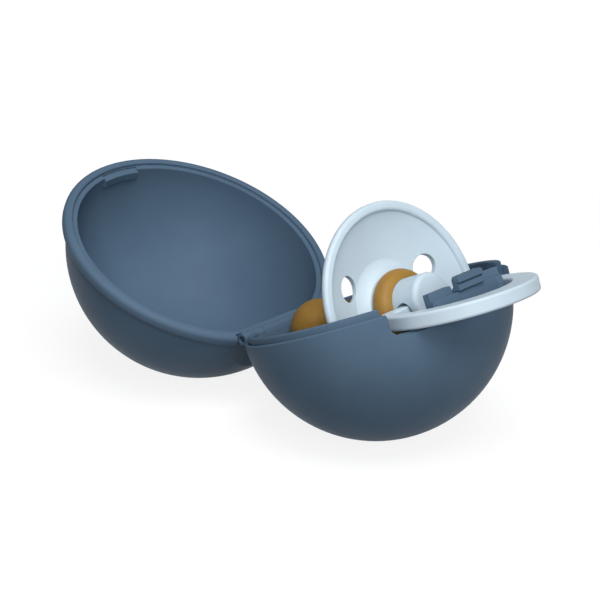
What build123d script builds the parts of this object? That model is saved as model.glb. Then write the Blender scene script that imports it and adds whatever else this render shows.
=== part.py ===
from build123d import *

import os
from math import asin, cos, degrees, radians, sin, sqrt

# Ball-shaped pacifier sterilizer case, lying open on its two round bowls.
# The base bowl holds a pacifier, whose pull ring is threaded round the latch post.
# Row frame: +X runs from the hinge to the latch, +Z is up, and the origin is where
# the base bowl touches the surface. Millimetres.

# ---------------------------------------------------------------- driving dimensions
# base bowl: soft outer shell and rigid inner liner
base_outer_radius = 31.5
base_tilt = 23.1                    # degrees, hinge side low
shell_wall = 1.1
liner_gap = 0.1
liner_wall = 1.2
lip_height = 1.2
rim_drop = 0.3                      # shell's edge below the liner's mouth plane
edge_chamfer = 0.32
foot_flat_depth = 0.12
floor_wall = 1.2

# lid
lid_step = 1.5                      # lid outer radius over the base's
lid_wall = 2.0
mouth_clearance = 0.77              # mouth wall over the base's outer radius
seat_clearance = 0.4                # closed lid's ledge over the base's edge
bead_overhang = 1.55                # bead past the lid's outer sphere
bead_height = 3.3
bead_round = 1.35
bead_top = 0.6
bead_blend = 0.2

# hinge
hinge_inset = 0.22                  # pin axis inside the base's outer radius
pin_radius = 0.8
pin_clearance = 0.05
knuckle_wall = 0.65
base_knuckle_half = 7.6
knuckle_gap = 0.2
lid_knuckle_length = 6.6
pin_recess = 1.0                    # pin's ends inside the lid's knuckles
hinge_flat_clearance = 0.18
hinge_flat_wall = 1.4
hinge_slot_clearance = 0.25
hinge_trim_half = 15.2

# pacifier: a rubber nipple held between a dished shield and a knob
pacifier_x = 8.4
pacifier_z = -1.1
pacifier_yaw = -3.4                 # degrees
pacifier_tilt = 2.7                 # degrees, knob end up
hub_drop = 0.8                      # hub's axis below the rim's
shield_radius = 23.6
shield_bead_width = 2.4
shield_bead_height = 1.9
shield_bead_front = 0.95
shield_bead_roundness = 0.45        # corner radius as a share of the bead's height
floor_clearance = 0.3               # under the shield
dish_radius = 46.0
dish_depth = 5.07
dish_wall = 1.15
vent_circle = 14.3
vent_radius = 3.0
vent_start = 27.0                   # degrees
boss_radius = 8.0
boss_foot = 13.0
boss_height = 2.6                   # over the dish's middle
boss_sink = 0.35                    # flare's foot under the dish's face
nipple_neck_radius = 5.1
nipple_bore_radius = 3.5
nipple_hole_clearance = 0.1
nipple_wall = 1.2
bulb_radius = 7.3
bulb_shoulder = 50.0                # degrees from the axis to where the ball ends
bulb_clearance = 0.4                # to the liner, behind the bulb
throat_radius = 4.7
throat_reach = 19.5
back_flange_radius = 7.4
back_flange_wall = 1.4
collar_minor_radius = 2.5
collar_major_radius = 6.1
knob_radius = 6.0
knob_front = 10.0                   # knob face in front of the rim plane
knob_round = 1.2
knob_seat_depth = 1.3
spigot_radius = 2.0
plug_clearance = 0.1
barb_step = 0.9

# pull ring
ring_inset = 6.9                    # ring centre inside the base's outer radius
ring_centre_z = -3.5
ring_tilt = 2.65                    # degrees, far end low
ring_outer_radius = 18.0
ring_side_rail = 4.0                # width of the ring beside the bore
ring_far_rail = 6.4                 # and at the far end from the bar
ring_height = 3.4
ring_round = 0.6
bar_forward = 5.2                   # bar in front of the shield's middle
bar_width = 2.9
bar_corner_outer = 4.0
bar_corner_inner = 3.5
bar_clearance = 0.5

# latch post and notches at the front of the base
ring_seat_gap = 0.25
notch_clearance = 3.9               # beside the ring
notch_corner = 2.9
notch_step = 0.35
ledge_wall = 1.2
ledge_reach = 5.0                   # ledge's back edge behind the post's
post_back_inset = 5.9               # post faces inside the base's outer radius
post_front_inset = 3.6
post_bulge = 0.9
post_clearance = 0.42
apron_top = -0.84
apron_wall = 0.95
cheek_depth = 1.7
cheek_top = 0.9
cheek_round = 0.6
pad_setback = 2.667                 # pad's inner end from the post's end
pad_width = 2.2
pad_proud = 0.85
pad_step = 0.3

# latch hook: a springy tongue behind the apron with a head above it
hook_half_width = 4.45
hook_slit = 0.2
hook_thickness = 1.0
hook_apron_gap = 0.15
hook_head_inset = 1.75               # head's face inside the base's outer radius
hook_head_bottom = 1.05
hook_head_top = 2.55
hook_neck_setback = 0.1             # neck's back behind the post's front face
hook_neck_wall = 1.05
hook_sill_inset = 2.1                # sill's face inside the base's outer radius
hook_sill_top = 0.45
hook_corner = 1.0
hook_root_gap = 0.2

# catch lug inside the lid
catch_clearance = 0.55
catch_top = 0.9                     # below the lid's mouth plane
catch_height = 2.2
catch_wall = 0.9                    # lid wall left behind the recess over the lug
catch_angle = 21.0                  # degrees

# ---------------------------------------------------------------- worked-out sizes
shell_inner_radius = base_outer_radius - shell_wall
liner_outer_radius = shell_inner_radius - liner_gap
liner_inner_radius = liner_outer_radius - liner_wall
lid_outer_radius = base_outer_radius + lid_step
lid_inner_radius = lid_outer_radius - lid_wall
mouth_radius = base_outer_radius + mouth_clearance
hinge_reach = base_outer_radius - hinge_inset
knuckle_radius = pin_radius + knuckle_wall
pin_bore_radius = pin_radius + pin_clearance
hinge_flat = hinge_reach - knuckle_radius - hinge_flat_clearance
lid_knuckle_start = base_knuckle_half + knuckle_gap
hinge_half = lid_knuckle_start + lid_knuckle_length
hinge_slot_reach = hinge_reach * cos(asin(hinge_half / hinge_reach)) - 2 * knuckle_radius
ring_centre_x = base_outer_radius - ring_inset
bar_centre_x = pacifier_x + bar_forward
floor_top = pacifier_z - shield_radius - floor_clearance
ledge_top = ring_centre_z - ring_height / 2 - ring_seat_gap
notch_floor = ledge_top - notch_step
notch_half_width = ring_outer_radius + notch_clearance
post_back_x = base_outer_radius - post_back_inset
post_front_x = base_outer_radius - post_front_inset
hook_head_front = base_outer_radius - hook_head_inset
hook_sill_front = base_outer_radius - hook_sill_inset
hook_neck_back = post_front_x - hook_neck_setback
hook_neck_front = hook_neck_back + hook_neck_wall
ring_bore_radius = ring_outer_radius - ring_side_rail
ring_bore_shift = ring_side_rail - ring_far_rail    # bore's centre from the ring's
bore_centre_x = ring_centre_x + ring_bore_shift
post_half_width = sqrt(ring_bore_radius**2 - (post_front_x - bore_centre_x) ** 2) - post_clearance
pad_inner = post_half_width - pad_setback
bar_corner = sqrt((bar_width / 2 - ring_round) ** 2 + (ring_height / 2 - ring_round) ** 2)
knob_hole_radius = bar_corner + ring_round + bar_clearance
catch_face = hook_head_front + catch_clearance

lid_tilt = degrees(asin((lid_step + hinge_reach * sin(radians(base_tilt))) / hinge_reach))


# ---------------------------------------------------------------- frames
def frame_plane(origin, x_axis, z_axis):
    return Plane(origin=origin, x_dir=x_axis, z_dir=z_axis)


def tilted(angle):
    """Unit vectors along and out of a plane that rises towards +X by the angle."""
    along = Vector(cos(radians(angle)), 0, sin(radians(angle)))
    out = Vector(-sin(radians(angle)), 0, cos(radians(angle)))
    return along, out


base_x, base_z = tilted(base_tilt)
base_y = Vector(0, 1, 0)
base_centre = Vector(0, 0, base_outer_radius)


def base_direction(x, y, z):
    return base_x * x + base_y * y + base_z * z


def base_point(x, y, z):
    return base_centre + base_direction(x, y, z)


hinge_point = base_point(-hinge_reach, 0, 0)
lid_x, lid_z = tilted(-lid_tilt)
lid_centre = hinge_point - lid_x * hinge_reach


def lid_point(x, y, z):
    return lid_centre + lid_x * x + base_y * y + lid_z * z


base_plane = frame_plane(base_centre, base_x, base_z)
base_section = frame_plane(base_centre, base_x, -base_y)
base_front = frame_plane(base_centre, base_y, base_x)
base_axis = Axis(base_centre, base_z)
lid_section = frame_plane(lid_centre, lid_x, -base_y)
lid_axis = Axis(lid_centre, lid_z)

pacifier_centre = base_point(pacifier_x, 0, pacifier_z)
yaw, tilt = radians(pacifier_yaw), radians(pacifier_tilt)
pacifier_out = base_direction(cos(tilt) * cos(yaw), cos(tilt) * sin(yaw), sin(tilt))
pacifier_side = base_direction(-sin(yaw), cos(yaw), 0)
pacifier_up = pacifier_out.cross(pacifier_side)
rim_section = frame_plane(pacifier_centre, pacifier_up, pacifier_side)
rim_axis = Axis(pacifier_centre, pacifier_out)
hub_centre = pacifier_centre - pacifier_up * hub_drop
hub_front = frame_plane(hub_centre, pacifier_side, pacifier_out)
hub_section = frame_plane(hub_centre, pacifier_up, pacifier_side)
hub_axis = Axis(hub_centre, pacifier_out)

# the bulb reaches back along the pacifier's axis until it is its clearance from the liner
hub_offset = hub_centre - base_centre
along = hub_offset.dot(pacifier_out)
bulb_limit = liner_inner_radius - bulb_radius - bulb_clearance
bulb_reach = along + sqrt(along**2 - hub_offset.length**2 + bulb_limit**2)

ring_x = base_direction(cos(radians(ring_tilt)), 0, -sin(radians(ring_tilt)))
ring_z = base_direction(sin(radians(ring_tilt)), 0, cos(radians(ring_tilt)))
ring_plane = frame_plane(base_point(ring_centre_x, 0, ring_centre_z), ring_x, ring_z)
bar_local_x = (bar_centre_x - ring_centre_x) / cos(radians(ring_tilt))
bar_point = ring_plane.origin + ring_x * bar_local_x


# ---------------------------------------------------------------- base bowl
def make_front_opening(floor):
    """What is cut from the front of a bowl, down to the floor of its two notches."""
    with BuildPart() as front_opening:
        with BuildSketch(base_front.offset(post_back_x / 2)):
            with Locations((0, floor)):
                Rectangle(2 * notch_half_width, base_outer_radius, align=(Align.CENTER, Align.MIN))
            fillet(vertices().group_by(Axis.Y)[0], notch_corner)
        extrude(amount=base_outer_radius)
    return front_opening.part


def make_base_shell(front_opening):
    with BuildPart() as base_shell:
        with BuildSketch(base_section):
            Circle(base_outer_radius)
            Circle(shell_inner_radius, mode=Mode.SUBTRACT)
            with Locations((0, -rim_drop)):
                size = (base_outer_radius, base_outer_radius - foot_flat_depth - rim_drop)
                Rectangle(*size, align=(Align.MIN, Align.MAX), mode=Mode.INTERSECT)
            rim = vertices().group_by(Axis.Y)[-1]
            chamfer(rim, edge_chamfer)
        revolve(axis=base_axis)
        add(front_opening, mode=Mode.SUBTRACT)
        with BuildSketch(base_section):
            with Locations((-hinge_slot_reach, 0)):
                slot = 2 * (knuckle_radius + hinge_slot_clearance)
                Rectangle(2 * base_outer_radius, slot, align=(Align.MAX, Align.CENTER))
        slot_half = hinge_half + hinge_slot_clearance
        extrude(amount=slot_half, both=True, mode=Mode.SUBTRACT)
    base_shell.part.label = "base_shell"
    return base_shell.part


def make_latch_post():
    """Ledge under the ring and the post inside it, with a slot for the hook."""
    with BuildPart() as latch_post:
        with BuildSketch(base_plane.offset(ledge_top - ledge_wall)):
            with Locations((post_back_x - ledge_reach, 0)):
                Rectangle(liner_outer_radius, 2 * notch_half_width, align=(Align.MIN, Align.CENTER))
        extrude(amount=ledge_wall)
        with Locations(base_plane.location):
            Sphere(liner_outer_radius, mode=Mode.INTERSECT)

        post_foot = ledge_top - ledge_wall / 4
        with BuildSketch(base_plane.offset(post_foot)):
            with BuildLine():
                left = (post_front_x, -post_half_width)
                right = (post_front_x, post_half_width)
                ThreePointArc(left, (post_front_x + post_bulge, 0), right)
                Polyline(right, (post_back_x, post_half_width), (post_back_x, -post_half_width), left)
            make_face()
        extrude(amount=apron_top - post_foot)

        cheek_inner = hook_half_width + hook_slit
        cheek_length = post_half_width - cheek_inner
        for side in (-1, 1):
            with BuildSketch(base_plane.offset(apron_top)):
                with Locations((post_back_x + cheek_depth / 2, side * (cheek_inner + cheek_length / 2))):
                    Rectangle(cheek_depth, cheek_length)
            cheek = extrude(amount=cheek_top - apron_top)
            ends = cheek.edges().group_by(Axis(base_centre, base_z))[-1]
            fillet(ends.filter_by(Axis(base_centre, base_x)), cheek_round)

        for side in (-1, 1):
            pad_plane = base_section.offset(-side * pad_inner)
            with BuildSketch(pad_plane):
                foot = (post_front_x + pad_proud, ledge_top)
                face = (post_front_x + pad_step, apron_top)
                Polygon(face, foot, (post_back_x, ledge_top), (post_back_x, apron_top), align=None)
            extrude(amount=-side * pad_width)

        apron_back = post_front_x + post_bulge - apron_wall
        with BuildSketch(base_plane.offset(ledge_top)):
            with Locations((apron_back, 0)):
                slot = 2 * cheek_inner
                Rectangle(2 * post_back_x, slot, align=(Align.MAX, Align.CENTER))
        extrude(amount=cheek_top - ledge_top, mode=Mode.SUBTRACT)
    return latch_post.part


def make_base_liner(front_opening, latch_post):
    """Rigid cup with the lip, the floor, the middle hinge knuckle and the latch post."""
    with BuildPart() as base_liner:
        with BuildSketch(base_section):
            Circle(liner_outer_radius)
            depth = floor_wall - floor_top
            Rectangle(liner_outer_radius, depth, align=(Align.MIN, Align.MAX), mode=Mode.INTERSECT)
            with Locations((liner_inner_radius, 0)):
                Rectangle(liner_wall, lip_height, align=(Align.MIN, Align.MIN))
            rim = vertices().group_by(Axis.Y)[-1]
            chamfer(rim, edge_chamfer)
        revolve(axis=base_axis)
        with BuildSketch(base_section):
            with Locations((-hinge_reach, 0)):
                Circle(knuckle_radius)
                size = (2 * knuckle_radius, knuckle_radius)
                Rectangle(*size, align=(Align.MIN, Align.MAX))
        extrude(amount=base_knuckle_half, both=True)
        with BuildSketch(base_section):
            Circle(liner_inner_radius)
            Rectangle(liner_inner_radius, -floor_top, align=(Align.MIN, Align.MAX), mode=Mode.INTERSECT)
        revolve(axis=base_axis, mode=Mode.SUBTRACT)
        add(front_opening, mode=Mode.SUBTRACT)
        with BuildSketch(base_section):
            with Locations((-hinge_slot_reach, -hinge_slot_clearance)):
                Rectangle(2 * base_outer_radius, 2 * lip_height, align=(Align.MAX, Align.MIN))
            with Locations((-hinge_reach, 0)):
                Circle(knuckle_radius, mode=Mode.SUBTRACT)
        slot_half = hinge_half + hinge_slot_clearance
        extrude(amount=slot_half, both=True, mode=Mode.SUBTRACT)
        with BuildSketch(base_section):
            with Locations((-hinge_reach, 0)):
                Circle(pin_bore_radius)
        extrude(amount=hinge_half, both=True, mode=Mode.SUBTRACT)
        add(latch_post)
    base_liner.part.label = "base_liner"
    return base_liner.part


def make_latch_hook():
    """Tongue that stands behind the apron, jogs forward over it and ends in a head."""
    back = post_front_x + post_bulge - apron_wall - hook_apron_gap - hook_thickness
    front = back + hook_thickness
    root = ledge_top + hook_root_gap + hook_thickness / 2
    jog = apron_top + hook_apron_gap
    with BuildPart() as latch_hook:
        with BuildSketch(base_section):
            with BuildLine():
                foot = (back + hook_thickness / 2, root - hook_thickness / 2)
                ThreePointArc((back, root), foot, (front, root))
                Polyline(
                    (front, root),
                    (front, jog),
                    (hook_sill_front, jog),
                    (hook_sill_front, hook_sill_top),
                    (hook_neck_front, hook_head_bottom),
                    (hook_head_front, hook_head_bottom),
                    (hook_head_front, hook_head_top),
                    (hook_neck_back, hook_head_top),
                    (hook_neck_back, jog + hook_neck_back - back),
                    (back, jog),
                    (back, root),
                )
            make_face()
        extrude(amount=hook_half_width, both=True)
        top = latch_hook.edges().group_by(Axis(base_centre, base_z))[-1]
        fillet(top.filter_by(Axis(base_centre, base_x)), hook_corner)
    latch_hook.part.label = "latch_hook"
    return latch_hook.part


def make_hinge_pin():
    with BuildPart() as hinge_pin:
        with BuildSketch(base_section):
            with Locations((-hinge_reach, 0)):
                Circle(pin_radius)
        extrude(amount=hinge_half - pin_recess, both=True)
        chamfer(hinge_pin.edges(), pin_radius / 5)
    hinge_pin.part.label = "hinge_pin"
    return hinge_pin.part


# ---------------------------------------------------------------- lid
def make_lid_shell():
    """Bowl with a rolled bead round its mouth, a flat at the hinge and two knuckles."""
    bead_x = lid_outer_radius + bead_overhang
    with BuildPart() as lid_shell:
        with BuildSketch(lid_section):
            Circle(lid_outer_radius)
            Rectangle(
                lid_outer_radius, lid_outer_radius, align=(Align.MIN, Align.MAX), mode=Mode.INTERSECT
            )
            with Locations((lid_inner_radius, bead_top)):
                size = (bead_x - lid_inner_radius, bead_height)
                Rectangle(*size, align=(Align.MIN, Align.MAX))
            fillet(vertices().group_by(Axis.X)[-1], bead_round)
            Circle(lid_inner_radius, mode=Mode.SUBTRACT)
            with Locations((mouth_radius, -seat_clearance)):
                Rectangle(mouth_radius, 2 * bead_top, align=(Align.MAX, Align.MIN), mode=Mode.SUBTRACT)
            mouth = vertices().sort_by_distance((mouth_radius, bead_top))[0]
            chamfer(mouth, edge_chamfer)
            under = vertices().sort_by_distance((lid_outer_radius, bead_top - bead_height))[0]
            fillet(under, bead_blend)
        revolve(axis=lid_axis)

        # flat inner wall behind the hinge, then the outside trimmed to match
        wall_plane = frame_plane(lid_point(hinge_flat - hinge_flat_wall, 0, 0), base_y, lid_x)
        disc_radius = sqrt(lid_inner_radius**2 - (hinge_flat - hinge_flat_wall) ** 2) + lid_wall / 4
        with BuildSketch(wall_plane):
            Circle(disc_radius)
            with Locations((0, -seat_clearance)):
                size = (2 * disc_radius, disc_radius)
                Rectangle(*size, align=(Align.CENTER, Align.MAX), mode=Mode.INTERSECT)
        extrude(amount=hinge_flat_wall)
        with BuildSketch(frame_plane(lid_point(hinge_flat, 0, 0), base_y, lid_x)):
            Rectangle(2 * hinge_trim_half, 2 * lid_outer_radius)
        extrude(amount=lid_outer_radius, mode=Mode.SUBTRACT)

        for side in (-1, 1):
            with BuildSketch(lid_section.offset(-side * lid_knuckle_start)):
                with Locations((hinge_reach, 0)):
                    Circle(knuckle_radius)
                    reach = hinge_reach - hinge_flat + hinge_flat_wall / 2
                    Rectangle(reach, knuckle_radius, align=(Align.MAX, Align.MAX))
                    Circle(pin_bore_radius, mode=Mode.SUBTRACT)
            extrude(amount=-side * lid_knuckle_length)

        # catch lug opposite the hinge
        start = radians(180 - catch_angle / 2)
        lug_x = lid_x * cos(start) + base_y * sin(start)
        lug_section = frame_plane(lid_centre, lug_x, lug_x.cross(lid_z))
        with BuildSketch(lug_section):
            with Locations((catch_face, -catch_top)):
                depth = lid_inner_radius - catch_face + lid_wall / 4
                Rectangle(depth, catch_height, align=(Align.MIN, Align.MAX))
        revolve(axis=lid_axis, revolution_arc=catch_angle)
        with BuildSketch(lug_section):
            with Locations((catch_face, -catch_top)):
                size = (lid_outer_radius - catch_wall - catch_face, catch_top)
                Rectangle(*size, align=(Align.MIN, Align.MIN))
        revolve(axis=lid_axis, revolution_arc=catch_angle, mode=Mode.SUBTRACT)
    lid_shell.part.label = "lid_shell"
    return lid_shell.part


# ---------------------------------------------------------------- pacifier
def make_pacifier_shield():
    """Round shield, dished away from the mouth, with a rolled edge and a flared hub."""
    dish_centre = (0, dish_radius - dish_depth)
    hole = nipple_neck_radius + nipple_hole_clearance
    bead_x = shield_radius - shield_bead_width / 2
    bead_s = shield_bead_front - shield_bead_height / 2
    bead_corner = shield_bead_height * shield_bead_roundness
    boss_front = boss_height - dish_depth
    with BuildPart() as pacifier_shield:
        with BuildSketch(rim_section):
            with Locations(dish_centre):
                Circle(dish_radius + dish_wall)
                Circle(dish_radius, mode=Mode.SUBTRACT)
            with Locations((0, dish_radius / 4)):
                Rectangle(bead_x, dish_radius, align=(Align.MIN, Align.MAX), mode=Mode.INTERSECT)
            with Locations((bead_x, bead_s)):
                RectangleRounded(shield_bead_width, shield_bead_height, bead_corner)
        revolve(axis=rim_axis)

        slope = asin(boss_foot / dish_radius)
        foot_s = dish_radius * (1 - cos(slope)) - dish_depth - boss_sink
        foot = (boss_foot, foot_s)
        lip = (boss_radius, boss_front)
        with BuildSketch(hub_section):
            with BuildLine():
                TangentArc(foot, lip, tangent=(-cos(slope), -sin(slope)))
                low = -dish_depth - dish_wall / 2
                Polyline(lip, (0, boss_front), (0, low), (boss_foot, foot_s - dish_wall / 4), foot)
            make_face()
        revolve(axis=hub_axis)

        with BuildSketch(hub_front):
            Circle(hole)
            with PolarLocations(vent_circle, 3, start_angle=vent_start):
                Circle(vent_radius)
        extrude(amount=dish_radius / 4, both=True, mode=Mode.SUBTRACT)
    pacifier_shield.part.label = "pacifier_shield"
    return pacifier_shield.part


def bulb_outline(radius, throat, foot):
    """Half outline of the nipple: a ball, a throat and a flare to the foot point."""
    angle = radians(bulb_shoulder)
    shoulder = (radius * sin(angle), -bulb_reach + radius * cos(angle))
    CenterArc((0, -bulb_reach), radius, -90, 90 - degrees(angle) + 90)
    Spline(
        shoulder,
        (throat, -throat_reach),
        foot,
        tangents=((-cos(angle), sin(angle)), (0.15, 1)),
    )


def make_pacifier_nipple():
    """Rubber nipple: hollow ball and neck, flange behind the shield, collar in front of it."""
    boss_front = boss_height - dish_depth
    flange_front = -dish_depth - dish_wall - 2 * nipple_hole_clearance
    flange_back = flange_front - back_flange_wall
    collar_s = boss_front + collar_minor_radius
    drop = sqrt(collar_minor_radius**2 - (collar_major_radius - nipple_neck_radius) ** 2)
    recess = knob_radius + nipple_hole_clearance / 2
    rise = sqrt(collar_minor_radius**2 - (collar_major_radius - recess) ** 2)
    seat = collar_s + rise - knob_seat_depth
    foot = (nipple_neck_radius + 0.5, flange_back)
    with BuildPart() as pacifier_nipple:
        with BuildSketch(hub_section):
            with BuildLine():
                bulb_outline(bulb_radius, throat_radius, foot)
                Polyline(
                    foot,
                    (back_flange_radius, flange_back),
                    (back_flange_radius, flange_front),
                    (nipple_neck_radius, flange_front),
                    (nipple_neck_radius, collar_s - drop),
                )
                ThreePointArc(
                    (nipple_neck_radius, collar_s - drop),
                    (collar_major_radius + collar_minor_radius, collar_s),
                    (recess, collar_s + rise),
                )
                Polyline(
                    (recess, collar_s + rise), (recess, seat), (0, seat), (0, -bulb_reach - bulb_radius)
                )
            make_face()
            inner_foot = (nipple_bore_radius + barb_step, flange_back)
            with BuildLine():
                bulb_outline(bulb_radius - nipple_wall, throat_radius - nipple_wall, inner_foot)
                Polyline(
                    inner_foot,
                    (nipple_bore_radius + barb_step, flange_front),
                    (nipple_bore_radius, flange_front + barb_step),
                    (nipple_bore_radius, seat),
                    (0, seat),
                    (0, -bulb_reach - bulb_radius + nipple_wall),
                )
            make_face(mode=Mode.SUBTRACT)
        revolve(axis=hub_axis)
    pacifier_nipple.part.label = "pacifier_nipple"
    return pacifier_nipple.part, seat, flange_front, flange_back


def make_nipple_plug(seat, flange_front, flange_back):
    """Hard plug that swells the neck behind the shield and grips the knob's spigot."""
    radius = nipple_bore_radius - plug_clearance
    barb = radius + barb_step
    front = seat - plug_clearance
    with BuildPart() as nipple_plug:
        with BuildSketch(hub_section):
            Polygon(
                (0, front),
                (radius, front),
                (radius, flange_front + barb_step),
                (barb, flange_front),
                (barb, flange_back + plug_clearance),
                (0, flange_back + plug_clearance),
                align=None,
            )
            with Locations((0, front)):
                bore = spigot_radius + plug_clearance / 2
                size = (bore, front - flange_front)
                Rectangle(*size, align=(Align.MIN, Align.MAX), mode=Mode.SUBTRACT)
        revolve(axis=hub_axis)
    nipple_plug.part.label = "nipple_plug"
    return nipple_plug.part


def make_pacifier_knob(seat, flange_front):
    """Round knob with a spigot into the plug and a cross hole for the ring's bar."""
    back = seat + plug_clearance
    with BuildPart() as pacifier_knob:
        with BuildSketch(hub_section):
            with Locations((0, back)):
                Rectangle(knob_radius, knob_front - back, align=(Align.MIN, Align.MIN))
            corner = vertices().sort_by_distance((knob_radius, knob_front))[0]
            fillet(corner, knob_round)
            with Locations((0, back)):
                size = (spigot_radius, back - flange_front - 2 * plug_clearance)
                Rectangle(*size, align=(Align.MIN, Align.MAX))
        revolve(axis=hub_axis)
        with BuildSketch(frame_plane(bar_point, ring_x, -base_y)):
            Circle(knob_hole_radius)
        extrude(amount=2 * knob_radius, both=True, mode=Mode.SUBTRACT)
    pacifier_knob.part.label = "pacifier_knob"
    return pacifier_knob.part


def make_pull_ring():
    """Ring with one flattened side, the bar, that runs through the knob."""
    outer_chord = bar_local_x - bar_width / 2
    inner_chord = bar_local_x + bar_width / 2
    with BuildPart() as pull_ring:
        with BuildSketch(ring_plane.offset(-ring_height / 2)):
            Circle(ring_outer_radius)
            with Locations((outer_chord, 0)):
                size = 2 * ring_outer_radius
                Rectangle(size, size, align=(Align.MAX, Align.CENTER), mode=Mode.SUBTRACT)
            fillet(vertices().group_by(Axis.X)[0], bar_corner_outer)
        extrude(amount=ring_height)
        with BuildSketch(ring_plane.offset(-ring_height / 2)):
            with Locations((ring_bore_shift, 0)):
                Circle(ring_bore_radius)
            with Locations((inner_chord, 0)):
                size = 2 * ring_outer_radius
                Rectangle(size, size, align=(Align.MAX, Align.CENTER), mode=Mode.SUBTRACT)
            fillet(vertices().group_by(Axis.X)[0], bar_corner_inner)
        extrude(amount=ring_height, mode=Mode.SUBTRACT)
        flats = pull_ring.faces().filter_by(Axis(base_centre, ring_z))
        fillet(flats.edges(), ring_round)
    pull_ring.part.label = "pull_ring"
    return pull_ring.part


# ---------------------------------------------------------------- build and write
nipple, knob_seat, neck_front, neck_back = make_pacifier_nipple()
pieces = [
    make_base_shell(make_front_opening(notch_floor)),
    make_base_liner(make_front_opening(ledge_top), make_latch_post()),
    make_latch_hook(),
    make_hinge_pin(),
    make_lid_shell(),
    make_pacifier_shield(),
    nipple,
    make_nipple_plug(knob_seat, neck_front, neck_back),
    make_pacifier_knob(knob_seat, neck_front),
    make_pull_ring(),
]

os.makedirs("parts", exist_ok=True)
for piece in pieces:
    export_step(piece, f"parts/{piece.label}.step")
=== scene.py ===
import bpy
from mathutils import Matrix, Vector

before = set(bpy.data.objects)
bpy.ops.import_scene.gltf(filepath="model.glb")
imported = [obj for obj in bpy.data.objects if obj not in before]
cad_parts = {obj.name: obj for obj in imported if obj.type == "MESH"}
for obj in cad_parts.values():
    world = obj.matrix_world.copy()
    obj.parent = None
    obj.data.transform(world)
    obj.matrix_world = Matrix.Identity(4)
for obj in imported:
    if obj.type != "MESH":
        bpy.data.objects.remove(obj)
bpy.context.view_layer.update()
scene = bpy.context.scene

MM = 0.001

# ---------------------------------------------------------------- camera
CAMERA_PLACE = Vector((252.8, -307.7, 178.1)) * MM
CAMERA_TARGET = Vector((-12.87, -11.55, 32.38)) * MM
CAMERA_LENS = 110.9
CAMERA_SENSOR = 36.0
CAMERA_NEAR = 10 * MM

# ---------------------------------------------------------------- colours, as seen on screen
CASE_BLUE = (91, 114, 135)
CASE_BLUE_DEEP = (84, 106, 127)
PALE_BLUE = (207, 224, 235)
PALE_BLUE_DEEP = (199, 216, 227)
AMBER = (166, 127, 60)
AMBER_DEEP = (150, 112, 46)
STEEL = (176, 178, 182)
STEEL_DEEP = (150, 152, 156)

# ---------------------------------------------------------------- floor, sky and lamps
FLOOR_HALF = 4.0
FLOOR_GREY = 0.2
FLOOR_ROUGHNESS = 0.9
NEAR_GLOW = 0.86                    # floor's glow under the object, which leaves its shadow
FAR_GLOW = 1.0
NEAR_RADIUS = 0.12
FAR_RADIUS = 0.5
SKY_LIGHT = 0.17
SKY_TINT = (0.88, 0.96, 1.05, 1)
SKY_SEEN = 1.0                      # strength for camera rays
WHITE = (1, 1, 1, 1)
OBJECT_MIDDLE = (-0.013, 0.0, 0.03)
# name, place, diameter in metres, watts
LAMPS = (
    ("overhead_softbox", (0.25, -0.2, 0.68), 0.45, 3.95),
    ("front_fill", (0.6, -0.47, 0.37), 0.5, 2.85),
)

# ---------------------------------------------------------------- nodes by finish
CASE_NODES = ("base_shell", "base_liner", "lid_shell", "latch_hook")
PALE_NODES = ("pacifier_shield", "pacifier_knob", "nipple_plug", "pull_ring")
RUBBER_NODES = ("pacifier_nipple",)
STEEL_NODES = ("hinge_pin",)


def linear(rgb):
    """Screen colour, 0 to 255, as a scene-linear colour with alpha, by the sRGB curve."""
    out = []
    for channel in rgb:
        c = channel / 255
        out.append(c / 12.92 if c <= 0.04045 else ((c + 0.055) / 1.055) ** 2.4)
    return (*out, 1.0)


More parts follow.
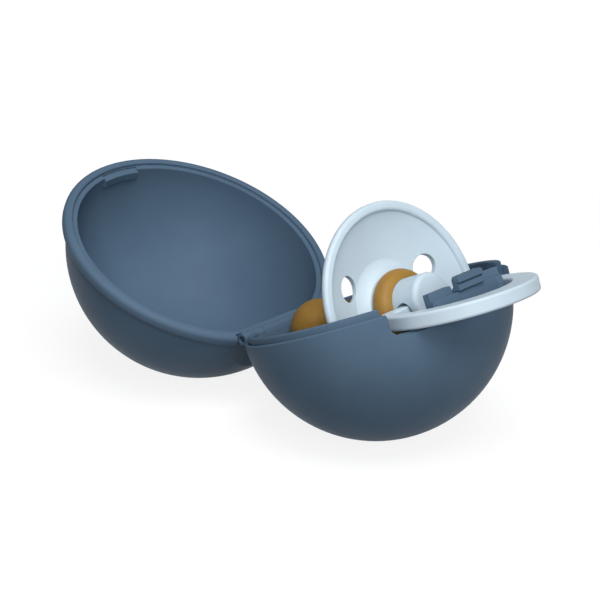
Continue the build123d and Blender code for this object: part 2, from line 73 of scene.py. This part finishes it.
# ---------------------------------------------------------------- material helpers
class Nodes:
    """A material's node tree with short calls to add and link nodes."""

    def __init__(self, name):
        self.material = bpy.data.materials.new(name)
        self.material.use_nodes = True
        self.tree = self.material.node_tree
        self.shader = self.tree.nodes["Principled BSDF"]
        self.coords = self.tree.nodes.new("ShaderNodeTexCoord").outputs["Object"]

    def add(self, kind, **settings):
        node = self.tree.nodes.new(kind)
        for key, value in settings.items():
            setattr(node, key, value)
        return node

    def link(self, source, target):
        self.tree.links.new(source, target)

    def feed(self, **sources):
        """Links outputs to the shader, by socket names with underscores for spaces."""
        for name, source in sources.items():
            self.link(source, self.shader.inputs[name.replace("_", " ")])

    def noise(self, size, detail=2.0, roughness=0.5, coords=None):
        """Noise whose features are about size metres across."""
        node = self.add("ShaderNodeTexNoise")
        node.inputs["Scale"].default_value = 1 / size
        node.inputs["Detail"].default_value = detail
        node.inputs["Roughness"].default_value = roughness
        self.link(coords or self.coords, node.inputs["Vector"])
        return node.outputs["Fac"]

    def spread(self, value, to_low, to_high, low=0.3, high=0.7):
        """Maps the part of the value between low and high, which is most of a noise."""
        node = self.add("ShaderNodeMapRange")
        self.link(value, node.inputs["Value"])
        for socket, number in zip(
            ("From Min", "From Max", "To Min", "To Max"), (low, high, to_low, to_high)
        ):
            node.inputs[socket].default_value = number
        return node.outputs["Result"]

    def blend(self, factor, first, second):
        """Mixes two colours, each a tuple or an output."""
        node = self.add("ShaderNodeMix", data_type="RGBA")
        self.link(factor, node.inputs["Factor"])
        for name, colour in (("A", first), ("B", second)):
            socket = next(s for s in node.inputs if s.name == name and s.type == "RGBA")
            if isinstance(colour, tuple):
                socket.default_value = colour
            else:
                self.link(colour, socket)
        return next(s for s in node.outputs if s.type == "RGBA")

    def bump(self, height, depth, strength=1.0, below=None):
        """Normals of a relief that is depth metres deep, on top of the normals below."""
        node = self.add("ShaderNodeBump")
        node.inputs["Distance"].default_value = depth
        node.inputs["Strength"].default_value = strength
        self.link(height, node.inputs["Height"])
        if below is not None:
            self.link(below, node.inputs["Normal"])
        return node.outputs["Normal"]

    def soft_edges(self, radius):
        """Normals that round every edge of the piece by the radius."""
        node = self.add("ShaderNodeBevel", samples=8)
        node.inputs["Radius"].default_value = radius
        return node.outputs["Normal"]


# ---------------------------------------------------------------- finishes
def moulded(name, colour, deep, gloss, shine, grain, edge=0.25 * MM, subsurface=0.0):
    """Moulded plastic: faint flow shading, a fine grain of the mould and soft edges."""
    m = Nodes(name)
    flow = m.noise(size=18 * MM, detail=3.0)
    fleck = m.noise(size=0.25 * MM)
    fleck_depth = 0.16
    tone = m.blend(m.spread(flow, 0.0, 1.0), linear(colour), linear(deep))
    tone = m.blend(m.spread(fleck, 0.0, fleck_depth, low=0.45, high=0.75), tone, linear(deep))
    fine = m.noise(size=0.32 * MM, detail=3.0)
    waves = m.noise(size=6 * MM, detail=1.0)
    normal = m.bump(fine, depth=grain, below=m.soft_edges(edge))
    normal = m.bump(waves, depth=2 * grain, strength=0.6, below=normal)
    m.feed(Base_Color=tone, Roughness=m.spread(flow, gloss - 0.04, gloss + 0.05), Normal=normal)
    m.shader.inputs["IOR"].default_value = 1.46
    m.shader.inputs["Specular IOR Level"].default_value = shine
    if subsurface:
        m.shader.inputs["Subsurface Weight"].default_value = subsurface
        m.shader.inputs["Subsurface Radius"].default_value = (1.0, 0.8, 0.6)
        m.shader.inputs["Subsurface Scale"].default_value = 0.6 * MM
    return m.material


def case_plastic():
    """Matt blue plastic of the bowls."""
    return moulded(
        "case_plastic", CASE_BLUE, CASE_BLUE_DEEP, gloss=0.5, shine=0.08, grain=0.012 * MM
    )


def pale_plastic():
    """Smoother pale blue plastic of the shield, the knob and the ring."""
    return moulded(
        "pale_plastic",
        PALE_BLUE,
        PALE_BLUE_DEEP,
        gloss=0.42,
        shine=0.3,
        grain=0.006 * MM,
        subsurface=0.15,
    )


def natural_rubber():
    """Amber rubber: cloudy, slightly see-through, with a soft skin."""
    m = Nodes("natural_rubber")
    cloud = m.noise(size=5 * MM, detail=4.0, roughness=0.6)
    speck = m.noise(size=0.3 * MM)
    speck_depth = 0.25
    tone = m.blend(m.spread(cloud, 0.0, 1.0), linear(AMBER), linear(AMBER_DEEP))
    tone = m.blend(m.spread(speck, 0.0, speck_depth, low=0.55, high=0.8), tone, linear(AMBER_DEEP))
    skin = m.noise(size=0.4 * MM, detail=3.0)
    dimples = m.noise(size=3 * MM)
    normal = m.bump(skin, depth=0.012 * MM, below=m.soft_edges(0.3 * MM))
    normal = m.bump(dimples, depth=0.05 * MM, strength=0.5, below=normal)
    m.feed(Base_Color=tone, Roughness=m.spread(cloud, 0.4, 0.5), Normal=normal)
    m.shader.inputs["Subsurface Weight"].default_value = 0.25
    m.shader.inputs["Subsurface Radius"].default_value = (1.0, 0.5, 0.2)
    m.shader.inputs["Subsurface Scale"].default_value = 1.2 * MM
    m.shader.inputs["IOR"].default_value = 1.5
    m.shader.inputs["Specular IOR Level"].default_value = 0.25
    return m.material


def drawn_steel():
    """Hinge wire with fine lines along the drawing direction, which is Y."""
    m = Nodes("drawn_steel")
    stretch = m.add("ShaderNodeMapping")
    stretch.inputs["Scale"].default_value = (1.0, 0.03, 1.0)
    m.link(m.coords, stretch.inputs["Vector"])
    lines = m.noise(size=0.08 * MM, coords=stretch.outputs["Vector"])
    tone = m.blend(lines, linear(STEEL), linear(STEEL_DEEP))
    normal = m.bump(lines, depth=0.004 * MM)
    m.feed(Base_Color=tone, Roughness=m.spread(lines, 0.25, 0.4), Normal=normal)
    m.shader.inputs["Metallic"].default_value = 1.0
    return m.material


def dress(names, material):
    """Gives the nodes one material in place of the plain one of the pack."""
    for name in names:
        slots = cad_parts[name].data.materials
        slots.clear()
        slots.append(material)


# ---------------------------------------------------------------- stage
def calculate(tree, operation, first, second):
    """Result of a math node with two linked values."""
    node = tree.nodes.new("ShaderNodeMath")
    node.operation = operation
    tree.links.new(first, node.inputs[0])
    tree.links.new(second, node.inputs[1])
    return node.outputs["Value"]


def white_for_camera(tree, surface):
    """Adds a white glow, fuller far from the object, for camera, glossy and transmission rays."""
    coords = tree.nodes.new("ShaderNodeTexCoord")
    reach = tree.nodes.new("ShaderNodeVectorMath")
    reach.operation = "LENGTH"
    tree.links.new(coords.outputs["Object"], reach.inputs[0])
    rise = tree.nodes.new("ShaderNodeMapRange")
    rise.interpolation_type = "SMOOTHSTEP"
    rise.inputs["From Min"].default_value = NEAR_RADIUS
    rise.inputs["From Max"].default_value = FAR_RADIUS
    rise.inputs["To Min"].default_value = NEAR_GLOW
    rise.inputs["To Max"].default_value = FAR_GLOW
    tree.links.new(reach.outputs["Value"], rise.inputs["Value"])
    ray = tree.nodes.new("ShaderNodeLightPath").outputs
    seen = calculate(tree, "MAXIMUM", ray["Is Camera Ray"], ray["Is Transmission Ray"])
    seen = calculate(tree, "MAXIMUM", seen, ray["Is Glossy Ray"])
    level = calculate(tree, "MULTIPLY", seen, rise.outputs["Result"])
    glow = tree.nodes.new("ShaderNodeEmission")
    tree.links.new(level, glow.inputs["Strength"])
    both = tree.nodes.new("ShaderNodeAddShader")
    tree.links.new(surface, both.inputs[0])
    tree.links.new(glow.outputs["Emission"], both.inputs[1])
    return both.outputs["Shader"]


def make_floor():
    """Matt floor that takes the object's shadow and looks white."""
    half = FLOOR_HALF
    mesh = bpy.data.meshes.new("floor")
    corners = [(-half, -half, 0), (half, -half, 0), (half, half, 0), (-half, half, 0)]
    mesh.from_pydata(corners, [], [(0, 1, 2, 3)])
    floor = bpy.data.objects.new("floor", mesh)
    scene.collection.objects.link(floor)
    material = bpy.data.materials.new("floor_paper")
    material.use_nodes = True
    tree = material.node_tree
    shader = tree.nodes["Principled BSDF"]
    shader.inputs["Base Color"].default_value = (FLOOR_GREY, FLOOR_GREY, FLOOR_GREY, 1)
    shader.inputs["Roughness"].default_value = FLOOR_ROUGHNESS
    shader.inputs["Specular IOR Level"].default_value = 0.0
    out = tree.nodes["Material Output"]
    tree.links.new(white_for_camera(tree, shader.outputs["BSDF"]), out.inputs["Surface"])
    mesh.materials.append(material)


def make_world():
    """Dim cool sky that the camera sees as white."""
    world = bpy.data.worlds.new("studio")
    world.use_nodes = True
    scene.world = world
    tree = world.node_tree
    background = tree.nodes["Background"]
    path = tree.nodes.new("ShaderNodeLightPath")
    level = tree.nodes.new("ShaderNodeMix")
    level.inputs["A"].default_value = SKY_LIGHT
    level.inputs["B"].default_value = SKY_SEEN
    tree.links.new(path.outputs["Is Camera Ray"], level.inputs["Factor"])
    tree.links.new(level.outputs["Result"], background.inputs["Strength"])
    tint = tree.nodes.new("ShaderNodeMix")
    tint.data_type = "RGBA"
    first, second = (s for s in tint.inputs if s.type == "RGBA")
    first.default_value = SKY_TINT
    second.default_value = WHITE
    tree.links.new(path.outputs["Is Camera Ray"], tint.inputs["Factor"])
    colour = next(s for s in tint.outputs if s.type == "RGBA")
    tree.links.new(colour, background.inputs["Color"])


def make_camera():
    """The camera of the photograph."""
    lens = bpy.data.cameras.new("camera")
    lens.lens = CAMERA_LENS
    lens.sensor_width = CAMERA_SENSOR
    lens.clip_start = CAMERA_NEAR
    camera = bpy.data.objects.new("camera", lens)
    camera.location = CAMERA_PLACE
    camera.rotation_euler = (CAMERA_TARGET - CAMERA_PLACE).to_track_quat("-Z", "Y").to_euler()
    scene.collection.objects.link(camera)
    scene.camera = camera


def make_lamp(name, place, diameter, watts):
    """Round soft lamp that is aimed at the middle of the object."""
    lamp = bpy.data.lights.new(name, "AREA")
    lamp.shape = "DISK"
    lamp.size = diameter
    lamp.energy = watts
    holder = bpy.data.objects.new(name, lamp)
    holder.location = place
    aim = Vector(OBJECT_MIDDLE) - Vector(place)
    holder.rotation_euler = aim.to_track_quat("-Z", "Y").to_euler()
    scene.collection.objects.link(holder)


# ---------------------------------------------------------------- scene
dress(CASE_NODES, case_plastic())
dress(PALE_NODES, pale_plastic())
dress(RUBBER_NODES, natural_rubber())
dress(STEEL_NODES, drawn_steel())
make_floor()
make_world()
make_camera()
for lamp_values in LAMPS:
    make_lamp(*lamp_values)
scene.view_settings.view_transform = "Standard"
